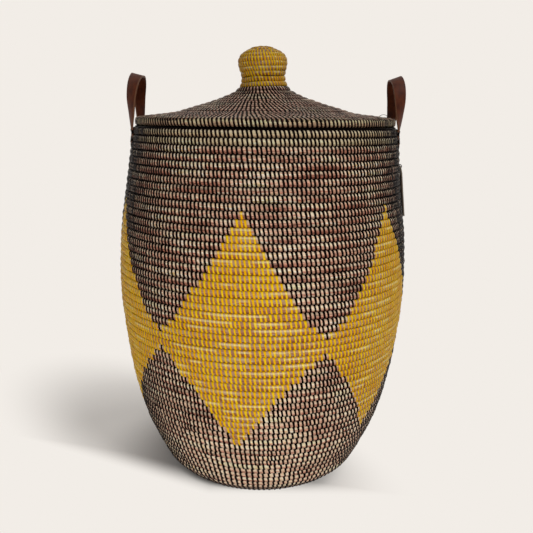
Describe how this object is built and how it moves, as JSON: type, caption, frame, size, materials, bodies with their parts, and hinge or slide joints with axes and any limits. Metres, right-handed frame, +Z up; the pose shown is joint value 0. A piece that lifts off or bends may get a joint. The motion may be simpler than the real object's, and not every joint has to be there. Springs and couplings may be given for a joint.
{
  "type": "laundry basket",
  "caption": "Tall round lidded laundry hamper of coiled grass with a belly, a domed lid with a knob, and a leather strap handle on each side.",
  "frame": {"origin": "middle of the underside, on the floor", "axes": "+Z up through the knob; the handles are on -X and +X; the front faces -Y"},
  "size_m": [0.4206, 0.4206, 0.6283],
  "materials": {
    "black_sewn_grass": "matte",
    "yellow_sewn_grass": "matte",
    "black_strip": "satin",
    "strap_leather": "satin",
    "tag_board": "matte"
  },
  "bodies": {
    "basket": {"base_coils": "black_sewn_grass", "wall_coils": "black_sewn_grass", "mouth_rim_coil": "black_strip", "left_front_strap_foot": "strap_leather", "left_back_strap_foot": "strap_leather", "right_front_strap_foot": "strap_leather", "right_back_strap_foot": "strap_leather", "left_front_upper_lashing": "black_strip", "left_front_lower_lashing": "black_strip", "left_back_upper_lashing": "black_strip", "left_back_lower_lashing": "black_strip", "right_front_upper_lashing": "black_strip", "right_front_lower_lashing": "black_strip", "right_back_upper_lashing": "black_strip", "right_back_lower_lashing": "black_strip"},
    "lid": {"lid_coils": "black_sewn_grass", "lid_brim_coil": "black_sewn_grass", "lid_seating_ring": "black_sewn_grass", "lid_knob": "yellow_sewn_grass"},
    "left_handle": {"left_handle_strap": "strap_leather"},
    "right_handle": {"right_handle_strap": "strap_leather"},
    "tag": {"hang_tag": "tag_board", "tag_tie": "black_strip"}
  },
  "joints": [
    {"name": "lid_lift", "type": "slide", "parent": "basket", "child": "lid", "axis": [0, 0, 1], "range_m": [0, 0.03]},
    {"name": "left_handle_swing", "type": "hinge", "parent": "basket", "child": "left_handle", "pos_m": [-0.18969, 0, 0.5148], "axis": [0, -1, 0], "range_deg": [0, 60], "stiffness_Nm_per_rad": 0.05},
    {"name": "right_handle_swing", "type": "hinge", "parent": "basket", "child": "right_handle", "pos_m": [0.18969, 0, 0.5148], "axis": [0, 1, 0], "range_deg": [0, 60], "stiffness_Nm_per_rad": 0.05},
    {"name": "tag_swing", "type": "hinge", "parent": "basket", "child": "tag", "pos_m": [0.19867, -0.00694, 0.46455], "axis": [-0.0349, -0.9994, 0], "range_deg": [0, 75]}
  ]
}
